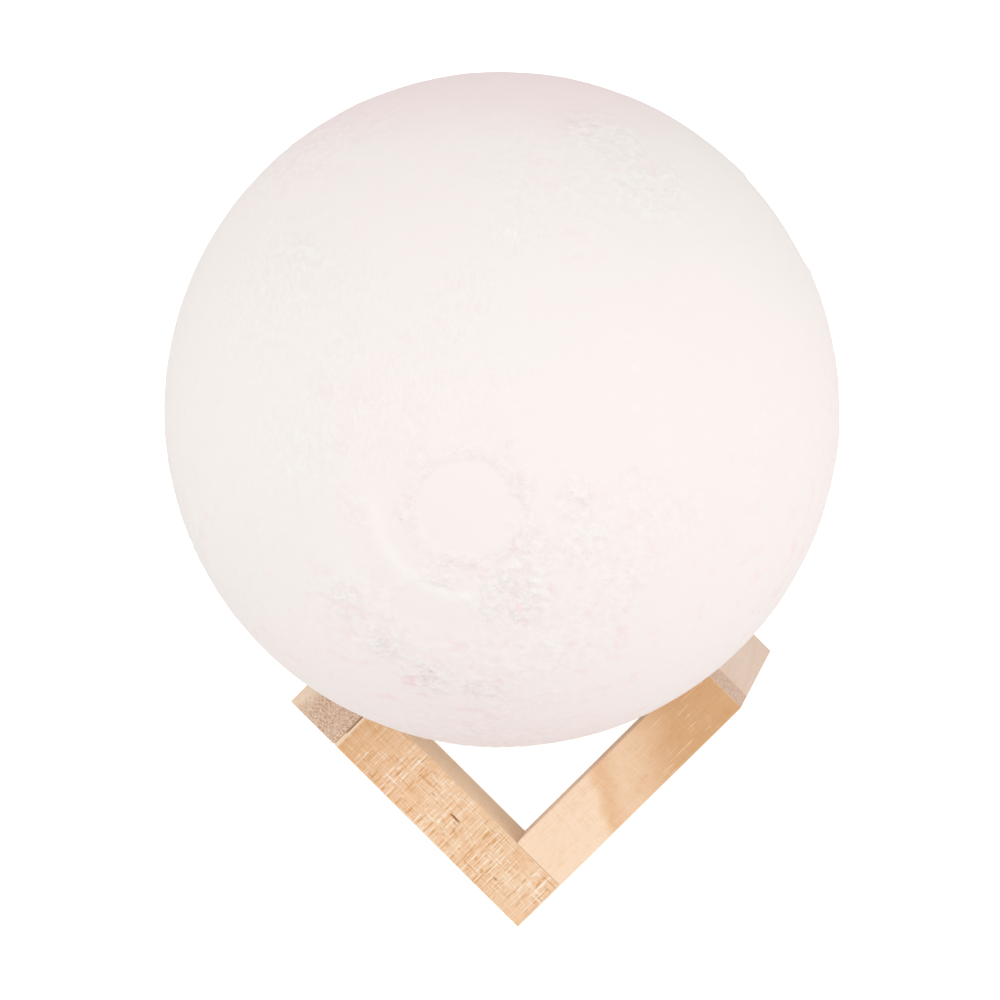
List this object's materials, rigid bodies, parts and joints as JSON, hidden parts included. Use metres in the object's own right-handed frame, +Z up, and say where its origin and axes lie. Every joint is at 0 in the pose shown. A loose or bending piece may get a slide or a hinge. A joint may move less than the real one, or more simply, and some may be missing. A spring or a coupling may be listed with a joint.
{
  "type": "moon lamp",
  "caption": "Table lamp: a hollow printed moon globe with a light module in its underside, resting on a zigzag crown of square beech bars.",
  "frame": {"origin": "on the upright axis of the stand, at the surface that its feet stand on", "axes": "+Z up, -Y towards the front foot, +X to the right seen from the front"},
  "size_m": [0.15, 0.15, 0.1871],
  "materials": {
    "beech": "sanded beech, bare, fine short flecks along the grain",
    "dowel_wood": "plain turned dowel",
    "moon_print": "printed, off-white with a faint pink mottle, fine layer lines",
    "cap_plastic": "moulded white, fine spark texture",
    "button_plastic": "moulded, light gloss",
    "black_plastic": "moulded black",
    "white_plunger": "moulded white",
    "contact_metal": "bright plated",
    "clear_plastic": "clear moulded light pipe",
    "lamp_yellow": "yellow lamp face",
    "green_board": "lacquered board",
    "screw_steel": "plated steel",
    "cell_wrap": "shrink wrap",
    "foam": "soft closed foam",
    "red_sheath": "soft sheath",
    "white_sheath": "soft sheath",
    "white_metal_board": "white lacquer on aluminium",
    "frosted_plastic": "frosted, lets light through"
  },
  "bodies": {
    "stand": {"bar_front_left": "beech", "bar_front_right": "beech", "bar_right_side": "beech", "bar_back_right": "beech", "bar_back_left": "beech", "bar_left_side": "beech", "dowel_front_foot": "dowel_wood", "dowel_right_foot": "dowel_wood", "dowel_left_foot": "dowel_wood", "dowel_left_peak": "dowel_wood", "dowel_right_peak": "dowel_wood", "dowel_back_peak": "dowel_wood"},
    "globe": {"moon_shell": "moon_print", "base_cap": "cap_plastic", "module_cup": "cap_plastic", "switch_body": "black_plastic", "charge_socket": "black_plastic", "control_chips": "black_plastic", "socket_pin": "contact_metal", "status_light_pipe": "clear_plastic", "status_led": "lamp_yellow", "led_chips": "lamp_yellow", "control_board": "green_board", "cap_screws": "screw_steel", "led_board_screws": "screw_steel", "battery_cell": "cell_wrap", "battery_pad_lower": "foam", "battery_pad_upper": "foam", "battery_leads": "red_sheath", "led_leads": "white_sheath", "led_board": "white_metal_board", "led_diffuser": "frosted_plastic"},
    "button": {"power_button": "button_plastic", "switch_plunger": "white_plunger"}
  },
  "joints": [
    {"name": "globe_lift", "type": "slide", "parent": "stand", "child": "globe", "axis": [0, 0, 1], "range_m": [0, 0.12]},
    {"name": "button_press", "type": "slide", "parent": "globe", "child": "button", "axis": [0, 0, 1], "range_m": [0, 0.0008], "stiffness_N_per_m": 1500}
  ]
}
